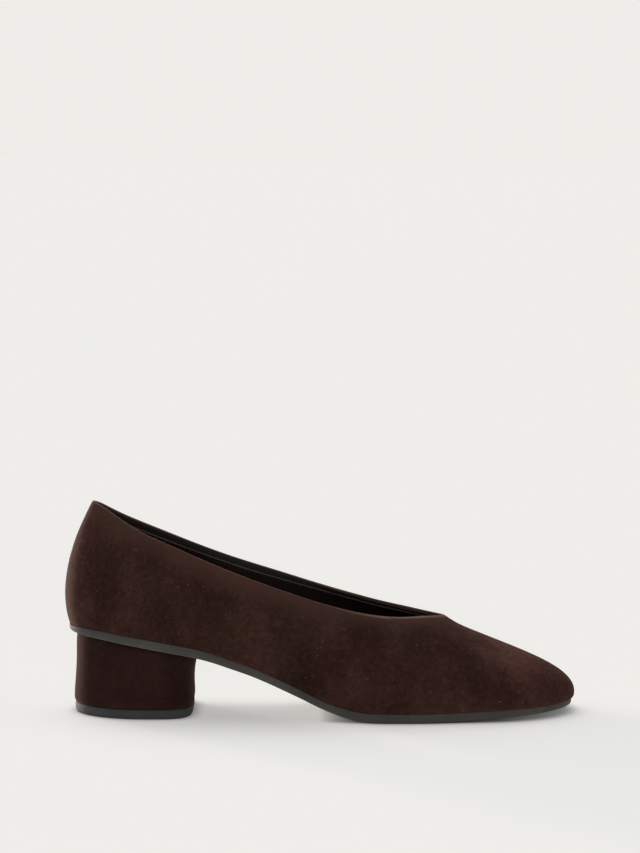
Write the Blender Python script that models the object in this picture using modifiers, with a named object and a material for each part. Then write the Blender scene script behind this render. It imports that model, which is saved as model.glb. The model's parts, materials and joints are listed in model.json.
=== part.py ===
"""Block heel pump, a right shoe in EU 37: hollow suede upper, insole, thin outsole, block heel, top lift.

X runs from the heel to the toe, +Y is the inner side of the foot and +Z is up.  All sizes are in metres.
A station is a share of the shoe's length, 0 at the heel and 1 at the toe.
"""
import math

import bpy
import numpy as np

# Driving sizes of the last
SHOE_LENGTH = 0.2448
BALL_WIDTH = 0.0777
HEEL_HEIGHT = 0.0399
BACK_HEIGHT = 0.1010

# Driving sizes of the materials and joins
UPPER_WALL = 0.0016
LASTING_MARGIN = 0.0085
FEATHER_RADIUS = 0.0015
SOLE_THICKNESS = 0.0036
INSOLE_THICKNESS = 0.0026
INSOLE_SKIVE = 0.0010
LIFT_THICKNESS = 0.0045
JOIN_GAP = 0.0003

# Mesh counts.  Crowding draws the levels of the upper together near its foot.
UPPER_RIBS = 88
UPPER_LEVELS = 13
LEVEL_CROWDING = 1.15
SOLE_POINTS = 88
HEEL_POINTS = 64
SHARP_ANGLE = math.radians(40)
MILLIMETRE = 0.001

# The sole's outline.  Half widths are shares of the ball width, on the outer and the inner side.
OUTLINE_COLUMNS = ("station", "outer", "inner")
OUTLINE = [
    (0.0085, 0.000, 0.000),
    (0.040, 0.228, 0.228),
    (0.102, 0.328, 0.322),
    (0.184, 0.366, 0.360),
    (0.265, 0.367, 0.335),
    (0.388, 0.360, 0.262),
    (0.490, 0.412, 0.285),
    (0.600, 0.490, 0.392),
    (0.700, 0.495, 0.487),
    (0.780, 0.468, 0.487),
    (0.860, 0.432, 0.448),
    (0.921, 0.352, 0.372),
    (0.960, 0.252, 0.275),
    (0.983, 0.140, 0.165),
    (0.9915, 0.000, 0.000),
]

# The sole from the side.  Height of its underside as a share of the heel height, and its thickness as a
# share of the sole's own.  Rows of height 0 are the flat tread under the ball.
SIDE_COLUMNS = ("station", "underside", "thickness")
SIDE = [
    (0.000, 1.010, 0.34),
    (0.020, 0.985, 0.66),
    (0.045, 0.963, 0.90),
    (0.083, 0.932, 1.01),
    (0.148, 0.860, 1.08),
    (0.212, 0.789, 1.10),
    (0.263, 0.729, 1.08),
    (0.306, 0.652, 1.02),
    (0.384, 0.476, 1.02),
    (0.460, 0.267, 1.00),
    (0.500, 0.153, 0.98),
    (0.540, 0.066, 1.02),
    (0.575, 0.015, 1.10),
    (0.604, 0.000, 1.14),
    (0.727, 0.000, 1.12),
    (0.776, 0.017, 1.04),
    (0.830, 0.038, 0.95),
    (0.882, 0.057, 0.84),
    (0.944, 0.077, 0.71),
    (1.000, 0.099, 0.65),
]

# The topline.  Half widths are shares of the ball width, heights are shares of the back height.
TOPLINE_COLUMNS = ("station", "outer", "outer_height", "inner", "inner_height")
TOPLINE = [
    (0.0560, 0.000, 1.001, 0.000, 1.001),
    (0.071, 0.068, 0.990, 0.068, 0.984),
    (0.102, 0.130, 0.951, 0.130, 0.939),
    (0.143, 0.193, 0.898, 0.193, 0.888),
    (0.196, 0.246, 0.839, 0.246, 0.830),
    (0.261, 0.297, 0.763, 0.297, 0.761),
    (0.339, 0.336, 0.685, 0.336, 0.689),
    (0.421, 0.354, 0.615, 0.354, 0.625),
    (0.498, 0.360, 0.554, 0.358, 0.566),
    (0.572, 0.340, 0.506, 0.340, 0.516),
    (0.621, 0.290, 0.482, 0.290, 0.490),
    (0.662, 0.222, 0.470, 0.222, 0.475),
    (0.697, 0.124, 0.463, 0.124, 0.466),
    (0.720, 0.068, 0.459, 0.068, 0.460),
    (0.740, 0.000, 0.456, 0.000, 0.456),
]

# The last's walls, as the handles of a rib that rises from the sole to the topline.  The angle runs round
# the shoe from the middle of the back, by the outer side, to the toe at 180 and back by the inner side.
# proud is how far the foot of the rib stands out past the sole, swell and rise lead out of that foot, reach
# is a share of the way in plan from topline to sole, and stand_out and drop lead down from the topline.
# Lengths are in millimetres.
WALL_COLUMNS = ("angle", "proud", "swell", "rise", "reach", "stand_out", "drop")
WALLS = [
    (0, 0.2, 2.8, 8.4, 1.00, 4.6, 29.0),
    (30, 0.3, 2.8, 9.0, 0.95, 3.0, 27.0),
    (55, 0.4, 2.4, 10.0, 0.80, 2.0, 24.0),
    (80, 0.4, 2.4, 12.0, 0.60, 2.0, 20.0),
    (105, 0.4, 1.8, 13.0, 0.45, 1.5, 15.0),
    (125, 0.5, 1.8, 13.0, 0.45, 2.0, 12.0),
    (145, 0.9, 1.8, 14.0, 0.42, 3.0, 11.8),
    (162, 1.3, 2.1, 15.0, 0.37, 2.5, 14.0),
    (180, 1.5, 2.4, 15.5, 0.355, 0.0, 16.2),
    (198, 1.3, 2.1, 15.0, 0.37, 2.5, 14.0),
    (215, 0.9, 1.8, 14.0, 0.42, 3.0, 11.8),
    (235, 0.5, 2.2, 12.5, 0.45, 2.0, 12.5),
    (255, 0.4, 4.0, 11.0, 0.35, 2.5, 16.0),
    (280, 0.4, 8.0, 10.0, 0.20, 3.0, 20.0),
    (305, 0.4, 4.5, 10.0, 0.70, 2.5, 24.0),
    (330, 0.3, 3.0, 9.0, 0.95, 3.0, 27.0),
]

# The heel block and the top lift
HEEL_COLUMNS = ("level", "rear", "front", "half_width")
HEEL = [
    (0.00, 0.0047, 0.0615, 0.0277),
    (0.35, 0.0049, 0.0616, 0.0273),
    (0.65, 0.0054, 0.0621, 0.0269),
    (1.00, 0.0062, 0.0630, 0.0266),
]
HEEL_WIDEST = 0.62
BREAST_POWER = 4.0
HEEL_EDGE = 0.0008
LIFT_INSET = 0.0003
LIFT_EDGE = 0.0004
SOLE_EDGE = 0.0005

SUEDE = ((0.045, 0.019, 0.014), 0.95)
LEATHER = ((0.018, 0.016, 0.015), 0.45)
SOLE_BLACK = ((0.030, 0.028, 0.027), 0.55)
RUBBER = ((0.026, 0.025, 0.025), 0.70)


def column(table, columns, name):
    """One column of a table, as an array."""
    place = columns.index(name)
    return np.array([row[place] for row in table], dtype=float)


def smooth_profile(knots, values):
    """A smooth function through the rows that never overshoots them, so flat stretches stay flat."""
    steps = np.diff(knots)
    slopes = np.diff(values) / steps
    tangents = np.zeros(len(knots))
    tangents[0] = slopes[0]
    tangents[-1] = slopes[-1]
    for i in range(1, len(knots) - 1):
        if slopes[i - 1] * slopes[i] > 0:
            before = 2 * steps[i] + steps[i - 1]
            after = steps[i] + 2 * steps[i - 1]
            tangents[i] = (before + after) / (before / slopes[i - 1] + after / slopes[i])

    def at(place):
        place = np.clip(place, knots[0], knots[-1])
        i = np.clip(np.searchsorted(knots, place, side="right") - 1, 0, len(steps) - 1)
        t = (place - knots[i]) / steps[i]
        rise = slopes[i] - tangents[i]
        fall = tangents[i + 1] - slopes[i]
        ease = values[i] + steps[i] * t * slopes[i]
        return ease + steps[i] * t * (1 - t) * (rise * (1 - t) - fall * t)

    return at


def closed_spline(angles, values):
    """A smooth function round the full circle, through the rows, as a periodic cubic spline."""
    count = len(angles)
    turn = 2 * math.pi
    steps = np.diff(np.append(angles, angles[0] + turn))
    slopes = np.diff(np.append(values, values[0])) / steps
    matrix = np.zeros((count, count))
    for i in range(count):
        matrix[i, i - 1] += steps[i - 1]
        matrix[i, i] += 2 * (steps[i - 1] + steps[i])
        matrix[i, (i + 1) % count] += steps[i]
    bends = np.linalg.solve(matrix, 6 * (slopes - np.roll(slopes, 1)))

    def at(angle):
        angle = (angle - angles[0]) % turn + angles[0]
        i = np.searchsorted(angles, angle, side="right") - 1
        after = (i + 1) % count
        t = angle - angles[i]
        lead = slopes[i] - steps[i] * (2 * bends[i] + bends[after]) / 6
        return values[i] + lead * t + bends[i] / 2 * t ** 2 + (bends[after] - bends[i]) / (6 * steps[i]) * t ** 3

    return at


def ring_angles(count):
    return np.arange(count) * 2 * math.pi / count


def round_the_shoe(table, columns, outer, inner, outer_sign=1.0):
    """A closed spline of one quantity, from its outer and inner columns.  Stations become angles by a
    cosine, which packs the points at both ends and makes the ends round."""
    stations = column(table, columns, "station")
    share = (stations - stations[0]) / (stations[-1] - stations[0])
    angles = np.arccos(1 - 2 * share)
    outer_values = column(table, columns, outer) * outer_sign
    inner_values = column(table, columns, inner)
    all_angles = np.concatenate([angles, 2 * math.pi - angles[-2:0:-1]])
    all_values = np.concatenate([outer_values, inner_values[-2:0:-1]])
    return closed_spline(all_angles, all_values)


def ring_lengthwise(table, columns, angles):
    """X of a ring's points, between the first and the last station of its table."""
    stations = column(table, columns, "station")
    middle = (stations[-1] + stations[0]) / 2
    half = (stations[-1] - stations[0]) / 2
    return (middle - half * np.cos(angles)) * SHOE_LENGTH


def outline_ring(count):
    """The sole's outline in plan, as X and Y."""
    angles = ring_angles(count)
    across = round_the_shoe(OUTLINE, OUTLINE_COLUMNS, "outer", "inner", outer_sign=-1.0)(angles)
    return np.column_stack([ring_lengthwise(OUTLINE, OUTLINE_COLUMNS, angles), across * BALL_WIDTH])


def topline_ring(count):
    """The topline as X, Y and Z."""
    angles = ring_angles(count)
    across = round_the_shoe(TOPLINE, TOPLINE_COLUMNS, "outer", "inner", outer_sign=-1.0)(angles)
    height = round_the_shoe(TOPLINE, TOPLINE_COLUMNS, "outer_height", "inner_height")(angles)
    lengthwise = ring_lengthwise(TOPLINE, TOPLINE_COLUMNS, angles)
    return np.column_stack([lengthwise, across * BALL_WIDTH, height * BACK_HEIGHT])


def outward(ring):
    """The unit normals in plan of a ring that runs anticlockwise seen from above."""
    along = np.roll(ring[:, :2], -1, axis=0) - np.roll(ring[:, :2], 1, axis=0)
    normals = np.stack([along[:, 1], -along[:, 0]], axis=1)
    return normals / np.linalg.norm(normals, axis=1)[:, None]


def inset(ring, distance):
    """The ring moved inwards in plan."""
    return ring[:, :2] - outward(ring) * distance


underside_share = smooth_profile(column(SIDE, SIDE_COLUMNS, "station"), column(SIDE, SIDE_COLUMNS, "underside"))
thickness_share = smooth_profile(column(SIDE, SIDE_COLUMNS, "station"), column(SIDE, SIDE_COLUMNS, "thickness"))


def sole_underside(x):
    return underside_share(x / SHOE_LENGTH) * HEEL_HEIGHT


def sole_top(x):
    return sole_underside(x) + thickness_share(x / SHOE_LENGTH) * SOLE_THICKNESS


def lifted(plan, height_at, lift):
    """A plan ring set on a height function."""
    return np.column_stack([plan, height_at(plan[:, 0]) + lift])


def skin(rings, capped):
    """Points and faces of a stack of equal rings, from the lowest up.  The caps run across the width."""
    count = len(rings[0])
    half = count // 2
    points = np.concatenate(rings)
    faces = []
    for row in range(len(rings) - 1):
        for i in range(count):
            low = row * count + i
            low_next = row * count + (i + 1) % count
            faces.append((low, low_next, low_next + count, low + count))
    if capped:
        top = (len(rings) - 1) * count
        for i in range(half):
            rung = [i, (count - i) % count]
            rung_next = [(count - i - 1) % count, i + 1]
            corners = list(dict.fromkeys(rung + rung_next))
            faces.append(tuple(corners))
            faces.append(tuple(top + corner for corner in reversed(corners)))
    return points, faces


def make_material(name, finish):
    colour, roughness = finish
    material = bpy.data.materials.new(name)
    material.use_nodes = True
    shader = material.node_tree.nodes["Principled BSDF"]
    shader.inputs["Base Color"].default_value = (*colour, 1.0)
    shader.inputs["Roughness"].default_value = roughness
    shader.inputs["Metallic"].default_value = 0.0
    return material


def add_piece(name, points, faces, material, collection):
    mesh = bpy.data.meshes.new(name)
    mesh.from_pydata([tuple(point) for point in points], [], faces)
    mesh.shade_smooth()
    mesh.set_sharp_from_angle(angle=SHARP_ANGLE)
    mesh.materials.append(material)
    piece = bpy.data.objects.new(name, mesh)
    collection.objects.link(piece)
    return piece


def upper_rows():
    """The outer face of the upper, row by row: lasting margin, feather, then the walls up to the topline."""
    angles = ring_angles(UPPER_RIBS)
    outline = outline_ring(UPPER_RIBS)
    wall_angles = np.radians(column(WALLS, WALL_COLUMNS, "angle"))
    wall = {}
    for name in WALL_COLUMNS[1:]:
        wall[name] = closed_spline(wall_angles, column(WALLS, WALL_COLUMNS, name))(angles)[:, None]
    for name in ("proud", "swell", "rise", "stand_out", "drop"):
        wall[name] = wall[name] * MILLIMETRE

    foot = lifted(inset(outline, -wall["proud"]), sole_top, JOIN_GAP + FEATHER_RADIUS)
    top = topline_ring(UPPER_RIBS)
    foot_out = np.column_stack([outward(foot), np.zeros(UPPER_RIBS)])
    top_out = np.column_stack([outward(top), np.zeros(UPPER_RIBS)])
    upwards = np.array([0.0, 0.0, 1.0])
    way_back = (foot - top) * np.array([1.0, 1.0, 0.0])
    low_handle = foot + foot_out * wall["swell"] + upwards * wall["rise"]
    high_handle = top + way_back * wall["reach"] + top_out * wall["stand_out"] - upwards * wall["drop"]

    rows = [lifted(inset(outline, LASTING_MARGIN), sole_top, JOIN_GAP)]
    for turn in (0.0, 45.0):
        sunk = FEATHER_RADIUS * (1 - math.sin(math.radians(turn)))
        raised = FEATHER_RADIUS * (1 - math.cos(math.radians(turn)))
        rows.append(lifted(inset(outline, sunk - wall["proud"]), sole_top, JOIN_GAP + raised))
    for level in range(UPPER_LEVELS + 1):
        t = (level / UPPER_LEVELS) ** LEVEL_CROWDING
        lead = (1 - t) ** 3 * foot + 3 * (1 - t) ** 2 * t * low_handle
        rows.append(lead + 3 * (1 - t) * t ** 2 * high_handle + t ** 3 * top)
    return rows


def make_upper(collection):
    points, faces = skin(upper_rows(), capped=False)
    piece = add_piece("upper", points, faces, make_material("brown suede", SUEDE), collection)
    wall = piece.modifiers.new("Wall", "SOLIDIFY")
    wall.thickness = UPPER_WALL
    wall.offset = -1.0
    wall.use_even_offset = True
    return piece


def make_outsole(collection):
    outline = outline_ring(SOLE_POINTS)
    rings = [
        lifted(inset(outline, SOLE_EDGE), sole_underside, 0.0),
        lifted(outline, sole_underside, SOLE_EDGE),
        lifted(outline, sole_top, -SOLE_EDGE / 2),
        lifted(inset(outline, SOLE_EDGE / 2), sole_top, 0.0),
    ]
    points, faces = skin(rings, capped=True)
    return add_piece("outsole", points, faces, make_material("black sole", SOLE_BLACK), collection)


def make_insole(collection):
    outline = inset(outline_ring(SOLE_POINTS), UPPER_WALL + JOIN_GAP)
    seat = UPPER_WALL + 2 * JOIN_GAP
    rings = [
        lifted(inset(outline, INSOLE_SKIVE), sole_top, seat),
        lifted(outline, sole_top, seat + INSOLE_SKIVE),
        lifted(outline, sole_top, seat + INSOLE_THICKNESS - SOLE_EDGE),
        lifted(inset(outline, SOLE_EDGE), sole_top, seat + INSOLE_THICKNESS),
    ]
    points, faces = skin(rings, capped=True)
    return add_piece("insole", points, faces, make_material("black leather", LEATHER), collection)


def heel_outline(rear, front, half_width):
    """A half ellipse behind and a blunter half in front, whose power sets how square the breast is."""
    widest = rear + (front - rear) * HEEL_WIDEST
    plan = []
    for angle in ring_angles(HEEL_POINTS):
        power = 2.0 if math.cos(angle) > 0 else BREAST_POWER
        reach = widest - rear if math.cos(angle) > 0 else front - widest
        along = math.copysign(abs(math.cos(angle)) ** (2 / power), math.cos(angle))
        across = math.copysign(abs(math.sin(angle)) ** (2 / power), math.sin(angle))
        plan.append((widest - reach * along, -half_width * across))
    return np.array(plan)


def heel_ring(level, inwards):
    """The heel's plan at a level between its foot, 0, and the sole, 1."""
    levels = column(HEEL, HEEL_COLUMNS, "level")
    sizes = [smooth_profile(levels, column(HEEL, HEEL_COLUMNS, name))(level) for name in HEEL_COLUMNS[1:]]
    return inset(heel_outline(*sizes), inwards)


def make_heel(collection):
    foot = LIFT_THICKNESS + JOIN_GAP

    def height_at(level):
        return lambda x: foot + (sole_underside(x) - JOIN_GAP - foot) * level

    rings = [lifted(heel_ring(0.0, HEEL_EDGE), height_at(0.0), 0.0)]
    rings.append(lifted(heel_ring(0.0, 0.0), height_at(0.0), HEEL_EDGE))
    for row in HEEL[1:-1]:
        rings.append(lifted(heel_ring(row[0], 0.0), height_at(row[0]), 0.0))
    rings.append(lifted(heel_ring(1.0, 0.0), height_at(1.0), -HEEL_EDGE))
    rings.append(lifted(heel_ring(1.0, HEEL_EDGE), height_at(1.0), 0.0))
    points, faces = skin(rings, capped=True)
    return add_piece("heel", points, faces, make_material("brown suede heel", SUEDE), collection)


def make_top_lift(collection):
    def flat(x):
        return np.zeros(len(x))

    rings = [
        lifted(heel_ring(0.0, LIFT_INSET + LIFT_EDGE), flat, 0.0),
        lifted(heel_ring(0.0, LIFT_INSET), flat, LIFT_EDGE),
        lifted(heel_ring(0.0, LIFT_INSET), flat, LIFT_THICKNESS),
    ]
    points, faces = skin(rings, capped=True)
    return add_piece("top_lift", points, faces, make_material("black rubber", RUBBER), collection)


def centre_on_origin(pieces):
    """Moves the pieces so that the middle of the whole shoe's box stands over the origin."""
    bpy.context.view_layer.update()
    depsgraph = bpy.context.evaluated_depsgraph_get()
    corners = []
    for piece in pieces:
        mesh = piece.evaluated_get(depsgraph).to_mesh()
        corners.extend(tuple(vertex.co) for vertex in mesh.vertices)
        piece.evaluated_get(depsgraph).to_mesh_clear()
    corners = np.array(corners)
    middle = (corners.min(axis=0) + corners.max(axis=0)) / 2
    for piece in pieces:
        piece.location = (-middle[0], -middle[1], 0.0)


def main():
    for old in list(bpy.data.objects):
        bpy.data.objects.remove(old, do_unlink=True)
    collection = bpy.data.collections.new("block_heel_pump")
    bpy.context.scene.collection.children.link(collection)
    pieces = [
        make_upper(collection),
        make_insole(collection),
        make_outsole(collection),
        make_heel(collection),
        make_top_lift(collection),
    ]
    centre_on_origin(pieces)


main()
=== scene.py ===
"""The look of the block heel pump: brown suede, smooth black leather inside, a thin black sole and top lift.

X runs from the heel to the toe, +Y is the inner side of the foot and +Z is up.  All sizes are in metres.
"""
import json
import math

import bmesh
import bpy
import numpy as np
from mathutils import Matrix, Vector
from mathutils.kdtree import KDTree

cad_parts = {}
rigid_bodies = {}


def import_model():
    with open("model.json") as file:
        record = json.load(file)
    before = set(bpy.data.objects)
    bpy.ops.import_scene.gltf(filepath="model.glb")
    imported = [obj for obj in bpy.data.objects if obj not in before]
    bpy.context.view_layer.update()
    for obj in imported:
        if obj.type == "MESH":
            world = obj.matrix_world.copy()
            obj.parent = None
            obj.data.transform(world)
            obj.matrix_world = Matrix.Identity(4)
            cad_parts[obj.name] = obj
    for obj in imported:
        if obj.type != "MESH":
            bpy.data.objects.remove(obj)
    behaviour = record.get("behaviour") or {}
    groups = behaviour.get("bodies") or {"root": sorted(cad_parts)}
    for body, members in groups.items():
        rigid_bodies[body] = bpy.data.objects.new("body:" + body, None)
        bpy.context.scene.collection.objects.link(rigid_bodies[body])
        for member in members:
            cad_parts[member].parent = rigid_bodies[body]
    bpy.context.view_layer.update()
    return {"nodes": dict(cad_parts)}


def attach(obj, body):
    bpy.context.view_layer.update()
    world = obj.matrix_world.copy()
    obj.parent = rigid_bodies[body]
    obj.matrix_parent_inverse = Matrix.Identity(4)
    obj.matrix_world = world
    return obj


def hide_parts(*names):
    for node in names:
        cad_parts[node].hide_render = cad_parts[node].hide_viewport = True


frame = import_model()

MM = 0.001

# Merging and finishing the copies of the solids
WELD = 0.02 * MM
SHARP_CORNER = math.radians(50)
RIM_CORNER = math.radians(65)
FINE_LEVELS = 2
FITTING_ROUNDS = 2

# The middle of the space inside the shoe, from the heel to the toe
INSIDE_COLUMNS = ("x", "height")
INSIDE = [(-0.100, 0.060), (-0.030, 0.045), (0.030, 0.021), (0.092, 0.017)]

# Sizes of the upper's edge, its linings and their stitches
RIM_ROUNDING = 0.45 * MM
FACING_WIDTH = 4.0 * MM
FACING_THICKNESS = 0.35 * MM
LINING_THICKNESS = 0.60 * MM
LINING_EDGE = 0.22 * MM
FACING_CORD = 0.6 * MM
FACING_CORD_THICKNESS = 0.8 * MM
STITCH_DROP = 1.3 * MM
STITCH_PITCH = 2.6 * MM
STITCH_LENGTH = 1.9 * MM
STITCH_WIDTH = 0.42 * MM
STITCH_FLATNESS = 0.6

# Where the rows of corners of the facing and of its turned edge lie, from the upper edge to the lower one
FACING_LEVELS = (0.0, 0.12, 0.5, 0.88, 1.0)
CORD_LEVELS = (0.0, 0.3, 0.7, 1.0)

# How many rows of the fine inner face lie on the margin under the insole, and which one the stitches follow
MARGIN_ROWS = 15
STITCH_NORMAL_ROW = 6

# The topline in the finish of the upper: how far down from it a highlight is painted on the suede, how wide
# the leather of the rim is, how squarely a face of that leather looks inside, and how flat the rim lies where
# a highlight is painted along its top
TOPLINE_HIGHLIGHT_WIDTH = 12.0 * MM
RIM_LEATHER = 2.4 * MM
RIM_INWARD = 0.45
RIM_HIGHLIGHT_TILT = 0.60

# Remaking the top and the bottom of a piece: how flat their faces lie, and how the grid in the middle is laid
FLAT_ENOUGH = 0.85
GRID_ACROSS = 10
GRID_TURN = 5

# Sizes of the sole, sock, heel and top lift
PLAIN_INSETS = (1.0 * MM, 1.5 * MM)
PLAIN_DEPTHS = (0.0, 0.0)
SOCK_INSETS = (1.0 * MM, 2.2 * MM, 0.45 * MM, 0.45 * MM, 2.0 * MM)
SOCK_DEPTHS = (0.0, 0.0, 0.22 * MM, 0.0, 0.0)
CHANNEL_INSETS = (1.0 * MM, 2.5 * MM, 0.35 * MM, 0.35 * MM, 2.0 * MM)
CHANNEL_DEPTHS = (0.0, 0.0, 0.35 * MM, 0.0, 0.0)
SOCK_THICKNESS = 0.9 * MM
LIP_HEIGHT = 0.6 * MM

# The seams down the front face of the heel and down the back of the upper
BREAST_FACES = 0.7
BACK_OF_SHOE = -0.095
SEAM_HALF_WIDTHS = (0.0, 0.35 * MM, 0.9 * MM)
SEAM_DEPTHS = (0.45 * MM, 0.08 * MM, -0.06 * MM)

# Soft troughs (a depth above 0) and ridges (below 0) in the upper, seen from the side: side is -1 on the
# outer side of the foot and 1 on the inner side, and turn is the angle of the fold from the floor
FOLD_COLUMNS = ("side", "x", "height", "turn", "length", "width", "depth")
FOLDS = [
    (-1, 0.036, 0.046, -8, 0.034, 0.0035, 0.00035),
    (-1, 0.052, 0.038, -50, 0.036, 0.0070, 0.00035),
    (-1, 0.078, 0.030, -30, 0.040, 0.0060, -0.00030),
    (-1, 0.004, 0.034, 80, 0.040, 0.0100, 0.00040),
    (-1, -0.034, 0.045, 70, 0.050, 0.0120, -0.00040),
    (-1, -0.066, 0.062, 85, 0.045, 0.0100, 0.00035),
    (-1, -0.090, 0.052, 70, 0.030, 0.0070, -0.00025),
    (1, 0.040, 0.044, -12, 0.036, 0.0045, 0.00040),
    (1, 0.066, 0.032, -45, 0.040, 0.0080, 0.00030),
    (1, 0.000, 0.040, 75, 0.045, 0.0110, -0.00045),
    (1, -0.050, 0.052, 80, 0.050, 0.0120, 0.00040),
    (1, -0.086, 0.066, 95, 0.035, 0.0090, -0.00030),
]

# How far from the middle of the shoe a fold has its full depth
FOLD_START = 0.010

# The stretch of the outer side behind the arch where the topline dips a little further
DIP_MIDDLE = -0.082
DIP_LENGTH = 0.018
DIP_DEPTH = 1.7 * MM
DIP_REACH = 16 * MM
DIP_STEP = 3 * MM


def linear(red, green, blue):
    """A colour read off a screen, 0 to 255, as the shader's own values."""
    values = []
    for level in (red, green, blue):
        share = level / 255
        values.append(share / 12.92 if share <= 0.04045 else ((share + 0.055) / 1.055) ** 2.4)
    return (*values, 1.0)


# Selecting and editing

def pick(piece):
    """Makes a piece the only one selected, and the active one."""
    bpy.ops.object.select_all(action="DESELECT")
    piece.select_set(True)
    bpy.context.view_layer.objects.active = piece


def open_for_edit(piece, kind="FACE"):
    """Opens a piece for editing with nothing selected."""
    pick(piece)
    bpy.ops.object.mode_set(mode="EDIT")
    bpy.ops.mesh.select_mode(type=kind)
    bpy.ops.mesh.select_all(action="DESELECT")


def close_edit():
    bpy.ops.object.mode_set(mode="OBJECT")


def select_faces(piece, wanted):
    """In edit mode, selects the faces that pass a test."""
    bpy.ops.mesh.select_all(action="DESELECT")
    shape = bmesh.from_edit_mesh(piece.data)
    for face in shape.faces:
        if wanted(face):
            face.select_set(True)
    bmesh.update_edit_mesh(piece.data)


def separate_selected(piece, name):
    """In edit mode, copies the selected faces into a new piece and leaves edit mode."""
    before = set(bpy.data.objects)
    bpy.ops.mesh.duplicate()
    bpy.ops.mesh.separate(type="SELECTED")
    close_edit()
    new = [item for item in bpy.data.objects if item not in before][0]
    new.name = name
    new.data.name = name
    new.data.materials.clear()
    return new


def apply_all(piece):
    pick(piece)
    for modifier in list(piece.modifiers):
        bpy.ops.object.modifier_apply(modifier=modifier.name)


def shade(piece, angle=SHARP_CORNER):
    pick(piece)
    bpy.ops.object.shade_smooth_by_angle(angle=angle)


def places(mesh):
    """The corners of a mesh, as an array."""
    found = np.zeros(len(mesh.vertices) * 3)
    mesh.vertices.foreach_get("co", found)
    return found.reshape(-1, 3)


def set_places(mesh, found):
    mesh.vertices.foreach_set("co", found.ravel())
    mesh.update()


# Copies of the solids

def highest_sharp_loop(shape):
    """The loop of sharp edges through the highest corner of a mesh: the upper's topline."""
    start = max(shape.verts, key=lambda corner: corner.co.z)
    loop = {start}
    front = [start]
    while front:
        corner = front.pop()
        for edge in corner.link_edges:
            other = edge.other_vert(corner)
            if other not in loop and edge.calc_face_angle() > RIM_CORNER:
                loop.add(other)
                front.append(other)
    return loop


def rings_from(first):
    """The ring of each corner of a closed mesh, counted out both ways from its first ring."""
    ring = {corner: 0 for corner in first}
    front = list(first)
    while front:
        reached = []
        for corner in front:
            for edge in corner.link_edges:
                other = edge.other_vert(corner)
                if other not in ring:
                    ring[other] = ring[corner] + 1
                    reached.append(other)
        front = reached
    return ring


def ring_through(corner, ring):
    """The corners of one ring in order, from the middle of the back and round by the outer side."""
    loop = [corner]
    seen = {corner}
    while True:
        beside = [edge.other_vert(loop[-1]) for edge in loop[-1].link_edges]
        onward = [other for other in beside if ring[other] == ring[corner] and other not in seen]
        if not onward:
            break
        loop.append(onward[0])
        seen.add(onward[0])
    at_back = [abs(other.co.y) if other.co.x < 0 else math.inf for other in loop]
    start = at_back.index(min(at_back))
    loop = loop[start:] + loop[:start]
    if loop[1].co.y > loop[-1].co.y:
        loop = loop[:1] + loop[:0:-1]
    return loop


def pair_along_ribs(piece):
    """In edit mode, dissolves the diagonals of the upper's faces: the edges on no ring and no rib."""
    shape = bmesh.from_edit_mesh(piece.data)
    ring = rings_from(highest_sharp_loop(shape))
    rib = {}
    for corner in shape.verts:
        if corner not in rib:
            rib.update({other: place for place, other in enumerate(ring_through(corner, ring))})
    bpy.ops.mesh.select_all(action="DESELECT")
    for edge in shape.edges:
        a, b = edge.verts
        if ring[a] != ring[b] and rib[a] != rib[b]:
            edge.select_set(True)
    bmesh.update_edit_mesh(piece.data)
    bpy.ops.mesh.dissolve_edges(use_verts=False)


def copy_of(node, name, ribbed=False):
    """A new piece with a solid's shape, its loose triangles merged and paired into four-sided faces."""
    piece = bpy.data.objects.new(name, frame["nodes"][node].data.copy())
    piece.data.name = name
    piece.data.materials.clear()
    bpy.context.scene.collection.objects.link(piece)
    pick(piece)
    bpy.ops.mesh.customdata_custom_splitnormals_clear()
    open_for_edit(piece, "EDGE")
    bpy.ops.mesh.select_all(action="SELECT")
    bpy.ops.mesh.remove_doubles(threshold=WELD)
    bpy.ops.mesh.mark_sharp(clear=True)
    if ribbed:
        pair_along_ribs(piece)
    else:
        bpy.ops.mesh.tris_convert_to_quads(face_threshold=math.pi, shape_threshold=math.pi)
    close_edit()
    return piece


def normals(mesh):
    """The directions in which a mesh's corners face, as an array."""
    found = np.zeros(len(mesh.vertices) * 3)
    mesh.vertices.foreach_get("normal", found)
    return found.reshape(-1, 3)


def press_folds(piece):
    """Presses the soft troughs and ridges of FOLDS into both faces of the upper's wall."""
    found = places(piece.data)
    for row in FOLDS:
        fold = dict(zip(FOLD_COLUMNS, row))
        turn = math.radians(fold["turn"])
        ahead = found[:, 0] - fold["x"]
        above = found[:, 2] - fold["height"]
        along = ahead * math.cos(turn) + above * math.sin(turn)
        across = above * math.cos(turn) - ahead * math.sin(turn)
        share = np.exp(-(across / fold["width"]) ** 2 - (2 * along / fold["length"]) ** 4)
        on_side = np.clip(found[:, 1] * fold["side"] / FOLD_START, 0, 1)
        found[:, 1] -= fold["side"] * fold["depth"] * share * on_side
    set_places(piece.data, found)


def dip_topline(piece):
    """Lowers the topline of the outer side softly, with the wall under it following."""
    found = places(piece.data)
    outer = found[:, 1] < 0
    slots = np.round(found[:, 0] / DIP_STEP).astype(int)
    slots -= slots.min()
    tops = np.full(slots.max() + 1, -1.0)
    np.maximum.at(tops, slots[outer], found[outer, 2])
    below = np.clip((tops[slots] - found[:, 2]) / DIP_REACH, 0, 1)
    along = np.exp(-((found[:, 0] - DIP_MIDDLE) / DIP_LENGTH) ** 2)
    found[outer, 2] -= (DIP_DEPTH * along * (1 - below) ** 2)[outer]
    set_places(piece.data, found)


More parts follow.
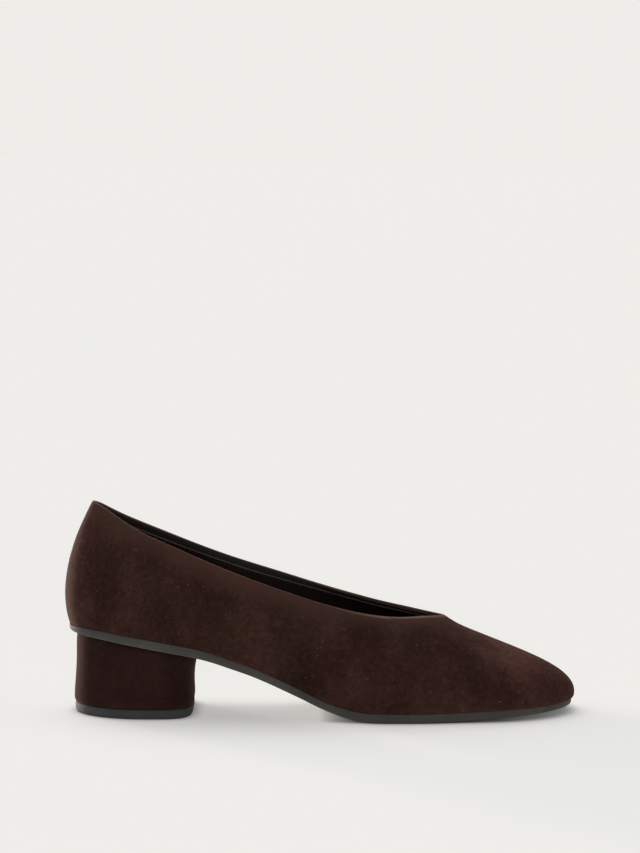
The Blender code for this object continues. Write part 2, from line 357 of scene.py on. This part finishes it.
def mark_edge(piece, loop):
    """Stores for the upper's finish how near each corner is to the topline, for the highlight painted along
    it, gives the rim its leather, and stores how squarely the rim's top faces up, for a highlight painted
    there.
    """
    tree = KDTree(len(loop))
    for number, place in enumerate(loop):
        tree.insert(Vector(place), number)
    tree.balance()
    # How near each corner is to the topline, by which a highlight is painted along it
    near = piece.data.attributes.new("near_edge", "FLOAT", "POINT")
    for corner, value in zip(piece.data.vertices, near.data):
        value.value = max(0.0, 1.0 - tree.find(corner.co)[2] / TOPLINE_HIGHLIGHT_WIDTH)
    for face in piece.data.polygons:
        at_rim = tree.find(face.center)[2] < RIM_LEATHER
        if at_rim and looks_inside(face.normal, face.center) > RIM_INWARD:
            face.material_index = 1
    # How squarely the rim's top faces up, by which a highlight is painted along it
    fold = piece.data.attributes.new("fold", "FLOAT", "POINT")
    for corner, up, value in zip(piece.data.vertices, normals(piece.data)[:, 2], fold.data):
        at_rim = tree.find(corner.co)[2] < RIM_LEATHER
        value.value = max(0.0, (up - RIM_HIGHLIGHT_TILT) / (1 - RIM_HIGHLIGHT_TILT)) if at_rim else 0.0


def subdivide_finely(piece, levels=FINE_LEVELS):
    """Subdivides a piece after raising its corners by as much as the smoothing will sink them."""
    wanted = places(piece.data)
    directions = normals(piece.data)
    cage = wanted.copy()
    for _ in range(FITTING_ROUNDS):
        trial = piece.copy()
        trial.data = piece.data.copy()
        bpy.context.scene.collection.objects.link(trial)
        set_places(trial.data, cage)
        finer = trial.modifiers.new("Finer", "SUBSURF")
        finer.levels = finer.render_levels = levels
        apply_all(trial)
        sunk = ((wanted - places(trial.data)[:len(wanted)]) * directions).sum(axis=1)
        cage += directions * sunk[:, None]
        bpy.data.objects.remove(trial)
    set_places(piece.data, cage)
    finer = piece.modifiers.new("Finer", "SUBSURF")
    finer.levels = finer.render_levels = levels
    apply_all(piece)


def stand_on_floor(piece):
    """Lifts what the smoothing has pushed under the floor."""
    found = places(piece.data)
    found[:, 2] = np.maximum(found[:, 2], 0.0)
    set_places(piece.data, found)


def inside_middle(x):
    """The middle of the space inside the shoe at one place along it."""
    lengthwise = [row[INSIDE_COLUMNS.index("x")] for row in INSIDE]
    heights = [row[INSIDE_COLUMNS.index("height")] for row in INSIDE]
    along = min(max(x, lengthwise[0]), lengthwise[-1])
    return Vector((along, 0.0, float(np.interp(along, lengthwise, heights))))


def looks_inside(direction, middle):
    """How squarely a face of the upper, with its direction and middle, looks at the space inside."""
    return direction.dot((inside_middle(middle.x) - middle).normalized())


def on_cap(face, side):
    """Whether a face is part of a piece's top, where the side is 1, or of its bottom, where it is -1."""
    return face.normal.z * side > FLAT_ENOUGH


def lay_on(piece, profile, depth):
    """In edit mode, sets the heights of the selected corners from a profile, a depth inwards."""
    shape = bmesh.from_edit_mesh(piece.data)
    for corner in shape.verts:
        if corner.select:
            corner.co.z = float(np.interp(corner.co.x, *zip(*profile))) - depth
    bmesh.update_edit_mesh(piece.data)


def remake_cap(piece, side, insets, depths):
    """Remakes the top or the bottom of a piece as rings at given insets and depths round a grid of faces."""
    open_for_edit(piece)
    select_faces(piece, lambda face: on_cap(face, side))
    shape = bmesh.from_edit_mesh(piece.data)
    profile = sorted((corner.co.x, corner.co.z) for corner in shape.verts if corner.select)
    bpy.ops.mesh.dissolve_faces()
    for inset, depth in zip(insets, depths):
        bpy.ops.mesh.inset(thickness=inset, use_even_offset=True)
        lay_on(piece, profile, side * depth)
    bpy.ops.mesh.delete(type="ONLY_FACE")
    bpy.ops.mesh.select_mode(type="VERT")
    bpy.ops.mesh.select_non_manifold()
    shape = bmesh.from_edit_mesh(piece.data)
    ring = [corner for corner in shape.verts if corner.select]
    shape.select_history.clear()
    shape.select_history.add(max(ring, key=lambda corner: corner.co.x))
    bpy.ops.mesh.fill_grid(span=len(ring) // 2 - GRID_ACROSS, offset=GRID_TURN)
    lay_on(piece, profile, 0.0)
    close_edit()


def press_seam(piece, in_reach):
    """A closed seam down the middle of a piece: bisects it on both sides and draws the middle in."""
    open_for_edit(piece)
    for half_width in SEAM_HALF_WIDTHS:
        for side in ((1,) if half_width == 0 else (1, -1)):
            select_faces(piece, in_reach)
            bpy.ops.mesh.bisect(plane_co=(0, side * half_width, 0), plane_no=(0, 1, 0))
    shape = bmesh.from_edit_mesh(piece.data)
    shape.normal_update()
    moves = {}
    for corner in {corner for face in shape.faces if in_reach(face) for corner in face.verts}:
        for half_width, depth in zip(SEAM_HALF_WIDTHS, SEAM_DEPTHS):
            if abs(abs(corner.co.y) - half_width) < WELD:
                moves[corner] = corner.co - corner.normal * depth
    for corner, place in moves.items():
        corner.co = place
    bmesh.update_edit_mesh(piece.data)
    close_edit()


# Rows of a four-sided mesh

def boundary_loops(mesh):
    """The open edges of a mesh, as loops of corners."""
    shape = bmesh.new()
    shape.from_mesh(mesh)
    beside = {}
    for edge in shape.edges:
        if edge.is_boundary:
            a, b = (corner.index for corner in edge.verts)
            beside.setdefault(a, []).append(b)
            beside.setdefault(b, []).append(a)
    shape.free()
    loops = []
    left = set(beside)
    while left:
        loop = [min(left)]
        left.discard(loop[0])
        while True:
            onward = [corner for corner in beside[loop[-1]] if corner in left]
            if not onward:
                break
            loop.append(onward[0])
            left.discard(onward[0])
        loops.append(loop)
    return loops


def rows_from(mesh, first):
    """Rows of corners, from an edge of the mesh on, each corner in line with the one before it."""
    beside = [[] for _ in mesh.vertices]
    for edge in mesh.edges:
        a, b = edge.vertices
        beside[a].append(b)
        beside[b].append(a)
    rows = [list(first)]
    seen = set(first)
    while True:
        row = []
        for corner in rows[-1]:
            onward = [other for other in beside[corner] if other not in seen]
            if len(onward) != 1:
                return np.array(rows)
            row.append(onward[0])
        seen.update(row)
        rows.append(row)


def reach_of(points):
    """How far down its rib each point lies."""
    steps = np.linalg.norm(np.diff(points, axis=0), axis=2)
    return np.vstack([np.zeros(steps.shape[1]), np.cumsum(steps, axis=0)])


def along_ribs(points, distances):
    """Points at the given distances down each rib, with a row of points and of distances for each level."""
    reach = reach_of(points)
    found = np.zeros((len(distances), points.shape[1], 3))
    for rib in range(points.shape[1]):
        for axis in range(3):
            found[:, rib, axis] = np.interp(distances[:, rib], reach[:, rib], points[:, rib, axis])
    return found


# The upper and what lines it

def make_upper():
    """The upper's wall, with its rim rounded and its inner face marked by the second material slot."""
    upper = copy_of("upper", "upper_suede", ribbed=True)
    open_for_edit(upper, "EDGE")
    for _ in range(2):
        bpy.ops.object.material_slot_add()
    bpy.ops.mesh.edges_select_sharp(sharpness=RIM_CORNER)
    bpy.ops.mesh.mark_sharp()
    bpy.ops.mesh.select_mode(type="FACE")
    bpy.ops.mesh.select_all(action="DESELECT")
    shape = bmesh.from_edit_mesh(upper.data)
    inmost = max(shape.faces, key=lambda face: looks_inside(face.normal, face.calc_center_median()))
    inmost.select_set(True)
    bmesh.update_edit_mesh(upper.data)
    bpy.ops.mesh.select_linked(delimit={"SHARP"})
    upper.active_material_index = 1
    bpy.ops.object.material_slot_assign()
    bpy.ops.mesh.select_mode(type="EDGE")
    bpy.ops.mesh.select_all(action="DESELECT")
    bpy.ops.mesh.edges_select_sharp(sharpness=RIM_CORNER)
    bpy.ops.mesh.mark_sharp(clear=True)
    bpy.ops.mesh.bevel(offset=RIM_ROUNDING, segments=2, profile=0.5)
    close_edit()
    subdivide_finely(upper)
    dip_topline(upper)
    press_folds(upper)
    return upper


def take_inner_face(upper):
    """The upper's inner face as a piece of its own, and its rows from the topline down."""
    open_for_edit(upper)
    upper.active_material_index = 1
    bpy.ops.object.material_slot_select()
    inner = separate_selected(upper, "inner_face")
    loops = boundary_loops(inner.data)
    heights = [places(inner.data)[loop, 2].mean() for loop in loops]
    return inner, rows_from(inner.data, loops[int(np.argmax(heights))])


def give_wall(piece, thickness, rounding):
    """Gives a sheet of faces its thickness, with rounded edges."""
    wall = piece.modifiers.new("Wall", "SOLIDIFY")
    wall.thickness = thickness
    wall.offset = 1.0
    rounded = piece.modifiers.new("Edges", "BEVEL")
    rounded.width = rounding
    rounded.segments = 2
    rounded.limit_method = "ANGLE"
    rounded.angle_limit = RIM_CORNER
    apply_all(piece)


def strip_of(inner, rows, name, distances, thickness, rounding):
    """A lining: the first rows of the inner face, set at new distances from the topline and given a wall."""
    piece = inner.copy()
    piece.data = inner.data.copy()
    piece.name = piece.data.name = name
    bpy.context.scene.collection.objects.link(piece)
    found = places(piece.data)
    found[rows[:len(distances)]] = along_ribs(found[rows], distances)
    set_places(piece.data, found)
    unwanted = set(rows[len(distances):].ravel())
    open_for_edit(piece, "VERT")
    shape = bmesh.from_edit_mesh(piece.data)
    for corner in shape.verts:
        if corner.index in unwanted:
            corner.select_set(True)
    bmesh.update_edit_mesh(piece.data)
    bpy.ops.mesh.delete(type="VERT")
    close_edit()
    give_wall(piece, thickness, rounding)
    return piece


def make_facing(inner, rows):
    """The strip of smooth leather round the inside of the topline."""
    levels = np.array(FACING_LEVELS)[:, None]
    distances = np.tile(levels * FACING_WIDTH, (1, rows.shape[1]))
    return strip_of(inner, rows, "topline_facing", distances, FACING_THICKNESS, FACING_THICKNESS / 2)


def make_facing_cord(inner, rows):
    """The turned lower edge of the facing, a thin raised line above the lining, coloured with a painted
    highlight.
    """
    levels = np.array(CORD_LEVELS)[:, None]
    distances = np.tile(FACING_WIDTH + (levels - 0.5) * FACING_CORD, (1, rows.shape[1]))
    return strip_of(inner, rows, "facing_cord", distances, FACING_CORD_THICKNESS, FACING_CORD / 4)


def make_lining(inner, rows):
    """The lining below the facing, down to the foot of the wall."""
    foot = reach_of(places(inner.data)[rows])[-MARGIN_ROWS]
    levels = np.linspace(0, 1, len(rows) - MARGIN_ROWS)[:, None]
    distances = FACING_WIDTH + levels * (foot - FACING_WIDTH)
    distances[1] = FACING_WIDTH + LINING_EDGE * 2
    return strip_of(inner, rows, "quarter_lining", distances, LINING_THICKNESS, LINING_EDGE)


def copies_along(model, name, spots):
    """Copies a small piece to each spot, a place and a direction for its length, and joins the copies."""
    copies = []
    for place, along, out in spots:
        copy = model.copy()
        copy.data = model.data.copy()
        bpy.context.scene.collection.objects.link(copy)
        side = out.cross(along).normalized()
        turned = Matrix((along, side, along.cross(side))).transposed().to_4x4()
        copy.data.transform(Matrix.Translation(place) @ turned)
        copies.append(copy)
    bpy.ops.object.select_all(action="DESELECT")
    for copy in copies:
        copy.select_set(True)
    bpy.context.view_layer.objects.active = copies[0]
    bpy.ops.object.join()
    joined = bpy.context.view_layer.objects.active
    joined.name = joined.data.name = name
    return joined


def make_stitch():
    """One stitch, a small flat bead."""
    bpy.ops.object.select_all(action="DESELECT")
    bpy.ops.mesh.primitive_uv_sphere_add(segments=8, ring_count=6, radius=0.5)
    stitch = bpy.context.object
    stitch.data.transform(Matrix.Diagonal((STITCH_LENGTH, STITCH_WIDTH, STITCH_WIDTH * STITCH_FLATNESS, 1.0)))
    return stitch


def make_lining_stitches(inner, rows):
    """One row of stitches that holds the lining's edge."""
    points = places(inner.data)[rows]
    drop = np.full((1, rows.shape[1]), FACING_WIDTH + STITCH_DROP)
    line = along_ribs(points, drop)[0]
    spots = []
    directions = normals(inner.data)[rows[STITCH_NORMAL_ROW]]
    closed = np.vstack([line, line[:1]])
    steps = np.linalg.norm(np.diff(closed, axis=0), axis=1)
    reach = np.concatenate([[0], np.cumsum(steps)])
    count = int(reach[-1] / STITCH_PITCH)
    for number in range(count):
        middle = (number + 0.5) * reach[-1] / count
        ends = []
        for shift in (-0.5, 0.0, 0.5):
            at = (middle + shift * STITCH_LENGTH) % reach[-1]
            ends.append(Vector([np.interp(at, reach, closed[:, axis]) for axis in range(3)]))
        rib = int(np.searchsorted(reach, middle) - 1) % rows.shape[1]
        outward = Vector(directions[rib])
        spots.append((ends[1] + outward * LINING_THICKNESS, (ends[2] - ends[0]).normalized(), outward))
    stitch = make_stitch()
    stitches = copies_along(stitch, "lining_stitches", spots)
    bpy.data.objects.remove(stitch)
    return stitches


# The sole, sock, heel and top lift

def raise_lip(outsole):
    """Draws the rim of the sole up to the suede, so that its edge shows right to the top."""
    found = places(outsole.data)
    upward = np.clip(normals(outsole.data)[:, 2], 0.0, 1.0)
    found[:, 2] += LIP_HEIGHT * 4 * upward * (1 - upward)
    set_places(outsole.data, found)


def make_outsole():
    """The sole, with the line of its channel underneath and its rim drawn up."""
    outsole = copy_of("outsole", "sole_edge_and_tread")
    remake_cap(outsole, -1, CHANNEL_INSETS, CHANNEL_DEPTHS)
    remake_cap(outsole, 1, PLAIN_INSETS, PLAIN_DEPTHS)
    subdivide_finely(outsole)
    raise_lip(outsole)
    stand_on_floor(outsole)
    return outsole


def make_insole():
    """The insole board, with the line that the sock on it takes over."""
    board = copy_of("insole", "insole_board")
    remake_cap(board, -1, PLAIN_INSETS, PLAIN_DEPTHS)
    remake_cap(board, 1, SOCK_INSETS, SOCK_DEPTHS)
    subdivide_finely(board)
    return board


def make_sock(board):
    """The leather sock on the insole, with a line pressed round its edge."""
    open_for_edit(board)
    select_faces(board, lambda face: on_cap(face, 1))
    sock = separate_selected(board, "sock")
    give_wall(sock, SOCK_THICKNESS, SOCK_THICKNESS / 3)
    return sock


def make_heel():
    """The covered heel, with the seam of its cover down the front face."""
    heel = copy_of("heel", "heel_cover")
    for side in (1, -1):
        remake_cap(heel, side, PLAIN_INSETS, PLAIN_DEPTHS)
    subdivide_finely(heel)
    press_seam(heel, lambda face: face.normal.x > BREAST_FACES)
    return heel


def make_top_lift():
    lift = copy_of("top_lift", "heel_top_lift")
    for side in (1, -1):
        remake_cap(lift, side, PLAIN_INSETS, PLAIN_DEPTHS)
    subdivide_finely(lift)
    stand_on_floor(lift)
    return lift


# Finishes

# The layers of the suede: how coarse each is, and its share of the tone
PATCH_SIZE = 20 * MM
PATCH_STRETCH = (1.0, 1.0, 0.7)
PATCH_SHARE = 0.42
CLUMP_SIZE = 2.6 * MM
CLUMP_SHARE = 0.28
FIBRE_SIZE = 0.6 * MM
FIBRE_SHARE = 0.30
TONE_STOPS = (0.36, 0.50, 0.66)
NAP_RELIEF = 0.22 * MM

# Where the suede turns towards yellow and towards red, and its light flecks
TINT_SIZE = 34 * MM
TINT_STOPS = (0.38, 0.62)
TINT_COLOURS = ((0.98, 1.0, 0.92, 1.0), (1.05, 0.94, 0.97, 1.0))
FLECK_SIZE = 1.5 * MM
FLECK_STOPS = (0.72, 0.80)
FLECK_COLOURS = ((0.0, 0.0, 0.0, 1.0), (0.3, 0.3, 0.3, 1.0))

# How fast the highlight painted along the topline fades further down
TOPLINE_HIGHLIGHT_FADE = 1.3

# The grain of the smooth leather
PORE_SIZE = 0.8 * MM
PORE_DEPTH = 0.05 * MM
PORE_SHARE = 0.4
CLOUD_SIZE = 18 * MM
CLOUD_SHARE = 0.6
LEATHER_STOPS = (0.35, 0.65)

# Painted highlights (a share above 1) and painted shade (a share below 1) in spots on the suede: a place, a
# radius and a share of the colour
PAINTED_LIGHT_COLUMNS = ("x", "y", "height", "radius", "share")
PAINTED_LIGHT_SPOTS = [
    (-0.012, -0.032, 0.022, 0.036, 0.74),
    (0.098, -0.012, 0.038, 0.040, 2.60),
    (-0.066, -0.026, 0.080, 0.024, 1.35),
    (-0.112, -0.016, 0.020, 0.020, 0.80),
    (-0.121, -0.003, 0.064, 0.018, 1.40),
    (0.066, -0.004, 0.046, 0.032, 1.30),
    (0.050, -0.016, 0.055, 0.022, 0.82),
    (-0.104, -0.006, 0.088, 0.026, 1.18),
    (0.010, 0.034, 0.020, 0.040, 0.80),
    (0.060, 0.030, 0.030, 0.034, 1.15),
]


def new_finish(name):
    """A material and its main shader."""
    material = bpy.data.materials.new(name)
    material.use_nodes = True
    return material, material.node_tree.nodes["Principled BSDF"]


def add_node(material, kind, links=None, **settings):
    """A node with its settings, its named inputs set or linked."""
    made = material.node_tree.nodes.new(kind)
    for key, value in settings.items():
        setattr(made, key, value)
    for key, value in (links or {}).items():
        if isinstance(value, bpy.types.NodeSocket):
            material.node_tree.links.new(value, made.inputs[key])
        else:
            made.inputs[key].default_value = value
    return made


def grain(material, size, detail=2.0, roughness=0.5, stretch=(1, 1, 1)):
    """Noise of a given size in metres, from 0 to 1."""
    place = add_node(material, "ShaderNodeTexCoord").outputs["Object"]
    turned = add_node(material, "ShaderNodeMapping", {"Vector": place, "Scale": stretch})
    noise = add_node(material, "ShaderNodeTexNoise", {
        "Vector": turned.outputs["Vector"], "Scale": 1 / size, "Detail": detail, "Roughness": roughness})
    return noise.outputs["Fac"]


def blend_values(material, parts):
    """A weighted sum of values."""
    total = None
    for value, weight in parts:
        total = add_node(material, "ShaderNodeMath", {0: value, 1: weight, 2: total if total else 0.0},
                         operation="MULTIPLY_ADD").outputs[0]
    return total


def ramp(material, value, stops):
    """A colour ramp through places and their colours."""
    stops = list(stops)
    made = add_node(material, "ShaderNodeValToRGB", {"Fac": value})
    marks = made.color_ramp.elements
    while len(marks) < len(stops):
        marks.new(0.5)
    for mark, (place, colour) in zip(marks, stops):
        mark.position = place
        mark.color = colour
    return made.outputs["Color"]


def bump(material, shader, heights):
    """Bumps on a shader from heights, each with its depth in metres."""
    below = None
    for height, depth in heights:
        links = {"Height": height, "Distance": depth, "Strength": 1.0}
        if below:
            links["Normal"] = below
        below = add_node(material, "ShaderNodeBump", links).outputs["Normal"]
    material.node_tree.links.new(below, shader.inputs["Normal"])


def mix(material, factor, first, second, blend="MIX"):
    """Two colours mixed."""
    links = {0: factor, 6: first, 7: second}
    return add_node(material, "ShaderNodeMix", links, data_type="RGBA", blend_type=blend).outputs[2]


def power(material, value, exponent):
    """A value raised to a power."""
    return add_node(material, "ShaderNodeMath", {0: value, 1: exponent}, operation="POWER").outputs[0]


def paint_light_at(material, colour, row):
    """A colour painted lighter round one place where the share is above 1, a painted highlight, and darker
    where it is below 1, painted shade.
    """
    spot = dict(zip(PAINTED_LIGHT_COLUMNS, row))
    place = add_node(material, "ShaderNodeTexCoord").outputs["Object"]
    middle = (spot["x"], spot["y"], spot["height"])
    away = add_node(material, "ShaderNodeVectorMath", {0: place, 1: middle}, operation="DISTANCE")
    span = {"Value": away.outputs["Value"], "From Max": spot["radius"], "To Min": 1.0, "To Max": 0.0}
    share = add_node(material, "ShaderNodeMapRange", span, interpolation_type="SMOOTHSTEP")
    tint = (spot["share"],) * 3 + (1.0,)
    return mix(material, share.outputs["Result"], colour, tint, "MULTIPLY")


def suede(name, shade_colour, mid_colour, light_colour, topline_highlight_colour, rim_highlight_and_fleck_colour):
    """Brushed suede: soft patches where the nap lies differently, small clumps, fine fibres and flecks, with
    highlights painted along the topline and on the rim's top, and painted highlights and painted shade in
    spots.
    """
    material, shader = new_finish(name)
    patches = grain(material, PATCH_SIZE, detail=2.0, stretch=PATCH_STRETCH)
    clumps = grain(material, CLUMP_SIZE, detail=3.0, roughness=0.6)
    fibres = grain(material, FIBRE_SIZE, detail=2.0)
    tints = grain(material, TINT_SIZE, detail=1.0)
    flecks = grain(material, FLECK_SIZE, detail=1.0)
    tone = blend_values(material, [(patches, PATCH_SHARE), (clumps, CLUMP_SHARE), (fibres, FIBRE_SHARE)])
    colour = ramp(material, tone, zip(TONE_STOPS, (shade_colour, mid_colour, light_colour)))
    hue = ramp(material, tints, zip(TINT_STOPS, TINT_COLOURS))
    colour = mix(material, 1.0, colour, hue, "MULTIPLY")
    # Painted highlights and painted shade in spots on the suede
    for row in PAINTED_LIGHT_SPOTS:
        colour = paint_light_at(material, colour, row)
    # The suede painted lighter near the topline: a painted highlight
    near = add_node(material, "ShaderNodeAttribute", attribute_name="near_edge").outputs["Fac"]
    topline_highlighted = mix(material, power(material, near, TOPLINE_HIGHLIGHT_FADE), colour, topline_highlight_colour)
    # The top of the rim painted lighter where it faces up: a painted highlight
    fold = add_node(material, "ShaderNodeAttribute", attribute_name="fold").outputs["Fac"]
    rim_highlighted = mix(material, fold, topline_highlighted, rim_highlight_and_fleck_colour)
    flecked = ramp(material, flecks, zip(FLECK_STOPS, FLECK_COLOURS))
    finished = mix(material, flecked, rim_highlighted, rim_highlight_and_fleck_colour)
    material.node_tree.links.new(finished, shader.inputs["Base Color"])
    shader.inputs["Roughness"].default_value = 0.95
    shader.inputs["Specular IOR Level"].default_value = 0.06
    shader.inputs["Sheen Weight"].default_value = 0.25
    shader.inputs["Sheen Roughness"].default_value = 0.45
    shader.inputs["Sheen Tint"].default_value = linear(150, 105, 92)
    bump(material, shader, [(clumps, NAP_RELIEF), (fibres, NAP_RELIEF)])
    return material


def leather(name, dark, light, roughness, gloss=0.5):
    """Smooth leather with a fine grain."""
    material, shader = new_finish(name)
    pores = grain(material, PORE_SIZE, detail=3.0)
    cloud = grain(material, CLOUD_SIZE)
    tone = blend_values(material, [(pores, PORE_SHARE), (cloud, CLOUD_SHARE)])
    colour = ramp(material, tone, zip(LEATHER_STOPS, (dark, light)))
    material.node_tree.links.new(colour, shader.inputs["Base Color"])
    shader.inputs["Roughness"].default_value = roughness
    shader.inputs["Specular IOR Level"].default_value = gloss
    bump(material, shader, [(pores, PORE_DEPTH)])
    return material


FINISHES = {
    # The fourth colour of the suede is its painted highlight along the topline, the fifth that of the painted
    # highlight on the rim's top and of the light flecks
    "suede": suede("brown suede", linear(44, 28, 24), linear(64, 43, 38), linear(85, 59, 54),
                   linear(90, 64, 57), linear(151, 120, 106)),
    # The heel's suede is the upper's suede painted darker: painted shade on the heel
    "heel_suede": suede("brown suede of the heel painted darker", linear(40, 26, 23), linear(51, 33, 31), linear(62, 41, 38),
                        linear(53, 36, 32), linear(75, 59, 55)),
    "facing": leather("dark brown edge leather", linear(43, 38, 34), linear(58, 51, 46), 0.55, 0.35),
    "lining": leather("black lining leather", linear(38, 25, 22), linear(51, 35, 30), 0.60, 0.25),
    "sock": leather("black sock leather", linear(25, 18, 15), linear(35, 27, 25), 0.60, 0.30),
    # The turned edge is painted far lighter than the facing leather it turns from: a painted highlight along
    # it
    "cord": leather("turned edge leather with painted highlight", linear(113, 102, 93), linear(140, 127, 115), 0.45),
    "thread": leather("dark thread", linear(44, 36, 32), linear(58, 48, 43), 0.70),
    "board": leather("insole board", linear(60, 48, 40), linear(78, 64, 53), 0.90),
    "sole": leather("black sole", linear(76, 73, 70), linear(90, 87, 82), 0.75, 0.25),
    "lift": leather("black rubber", linear(72, 71, 74), linear(83, 82, 86), 0.80, 0.25),
}


def finish_with(piece, finish):
    """Gives a piece its finish, and lets it ride on the shoe."""
    if not piece.data.materials:
        piece.data.materials.append(None)
    for place in range(len(piece.data.materials)):
        piece.data.materials[place] = FINISHES[finish]
    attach(piece, "root")


# Building the shoe

upper = make_upper()
inner, rows = take_inner_face(upper)
mark_edge(upper, places(inner.data)[rows[0]])
facing = make_facing(inner, rows)
cord = make_facing_cord(inner, rows)
lining = make_lining(inner, rows)
stitches = make_lining_stitches(inner, rows)
bpy.data.objects.remove(inner)
press_seam(upper, lambda face: face.material_index == 0 and face.calc_center_median().x < BACK_OF_SHOE)
outsole = make_outsole()
board = make_insole()
sock = make_sock(board)
heel = make_heel()
lift = make_top_lift()

for piece in (upper, facing, cord, lining, stitches, outsole, board, sock, heel, lift):
    shade(piece)

finish_with(upper, "suede")
upper.data.materials[1] = FINISHES["facing"]
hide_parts("upper")
finish_with(facing, "facing")
finish_with(cord, "cord")
finish_with(lining, "lining")
finish_with(stitches, "thread")
finish_with(board, "board")
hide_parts("insole")
finish_with(sock, "sock")
finish_with(outsole, "sole")
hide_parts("outsole")
finish_with(heel, "heel_suede")
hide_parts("heel")
finish_with(lift, "lift")
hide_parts("top_lift")

# Floor

# Its colour, how much it glows evenly besides the light it reflects, and how near a piece that glow is
# dimmed, a painted contact shadow
FLOOR_COLOUR = (0.650, 0.646, 0.624, 1.0)
FLOOR_GLOW = 0.438
PAINTED_CONTACT_SHADOW_REACH = 6 * MM
FLOOR_SIZE = 80

bpy.ops.object.select_all(action="DESELECT")
bpy.ops.mesh.primitive_plane_add(size=FLOOR_SIZE)
floor = bpy.context.object
floor.name = "floor"
floor_material, floor_shader = new_finish("pale floor")
floor_shader.inputs["Base Color"].default_value = FLOOR_COLOUR
floor_shader.inputs["Emission Color"].default_value = FLOOR_COLOUR
# Ambient occlusion dims the floor's glow close to the shoe: a painted contact shadow
open_sky = add_node(floor_material, "ShaderNodeAmbientOcclusion", {"Distance": PAINTED_CONTACT_SHADOW_REACH}).outputs["AO"]
glow = add_node(floor_material, "ShaderNodeMath", {0: open_sky, 1: FLOOR_GLOW / FLOOR_COLOUR[0]},
                operation="MULTIPLY").outputs[0]
floor_material.node_tree.links.new(glow, floor_shader.inputs["Emission Strength"])
floor_shader.inputs["Roughness"].default_value = 1.0
floor_shader.inputs["Specular IOR Level"].default_value = 0.0
floor.data.materials.append(floor_material)

# Light

# Where each soft light comes from, in degrees: azimuth 0 is the side that the camera sees, 90 the toe
WARM = (1.0, 0.90, 0.84)
WHITE = (1.0, 1.0, 1.0)
LIGHT_COLUMNS = ("name", "azimuth", "elevation", "spread", "strength", "colour")
LIGHTS = [
    ("overhead", 180, 70, 50, 0.66, WHITE),
    ("overhead_left", -120, 70, 50, 0.42, WHITE),
    ("rear_left", -150, 45, 40, 0.67, WHITE),
    ("rim", -139, 2, 9, 4.60, WARM),
    ("low_left", -120, 15, 30, 0.62, WHITE),
    ("low_right", 90, 20, 40, 0.22, WHITE),
    ("low_front", 0, 10, 30, 0.35, WHITE),
]
for row in LIGHTS:
    plan = dict(zip(LIGHT_COLUMNS, row))
    lamp = bpy.data.lights.new(plan["name"], "SUN")
    lamp.energy = plan["strength"]
    lamp.angle = math.radians(plan["spread"])
    lamp.color = plan["colour"]
    light = bpy.data.objects.new(plan["name"], lamp)
    bpy.context.scene.collection.objects.link(light)
    turn = math.radians(plan["azimuth"])
    rise = math.radians(plan["elevation"])
    towards = Vector((math.sin(turn) * math.cos(rise), -math.cos(turn) * math.cos(rise), math.sin(rise)))
    light.rotation_euler = towards.to_track_quat("Z", "Y").to_euler()

# The backdrop behind the floor, and the little light that comes from all round
BACKDROP = linear(238.5, 236.5, 232.5)
AMBIENT = 0.02
world = bpy.data.worlds.new("studio")
bpy.context.scene.world = world
world.use_nodes = True
tree = world.node_tree
tree.nodes.clear()
seen = tree.nodes.new("ShaderNodeBackground")
seen.inputs["Color"].default_value = BACKDROP
around = tree.nodes.new("ShaderNodeBackground")
around.inputs["Color"].default_value = (1.0, 1.0, 1.0, 1.0)
around.inputs["Strength"].default_value = AMBIENT
path = tree.nodes.new("ShaderNodeLightPath")
both = tree.nodes.new("ShaderNodeMixShader")
out = tree.nodes.new("ShaderNodeOutputWorld")
tree.links.new(path.outputs["Is Camera Ray"], both.inputs[0])
tree.links.new(around.outputs[0], both.inputs[1])
tree.links.new(seen.outputs[0], both.inputs[2])
tree.links.new(both.outputs[0], out.inputs["Surface"])
bpy.context.scene.view_settings.view_transform = "Standard"

# Camera

CAMERA_LENS = 131.68
CAMERA_PLACE = (0.0, -1.4819, 0.2753)
CAMERA_PITCH = math.radians(90 - 5.351)
camera_data = bpy.data.cameras.new("camera")
camera_data.lens = CAMERA_LENS
camera_data.sensor_width = 36
camera = bpy.data.objects.new("camera", camera_data)
camera.location = CAMERA_PLACE
camera.rotation_euler = (CAMERA_PITCH, 0, 0)
bpy.context.scene.collection.objects.link(camera)
bpy.context.scene.camera = camera
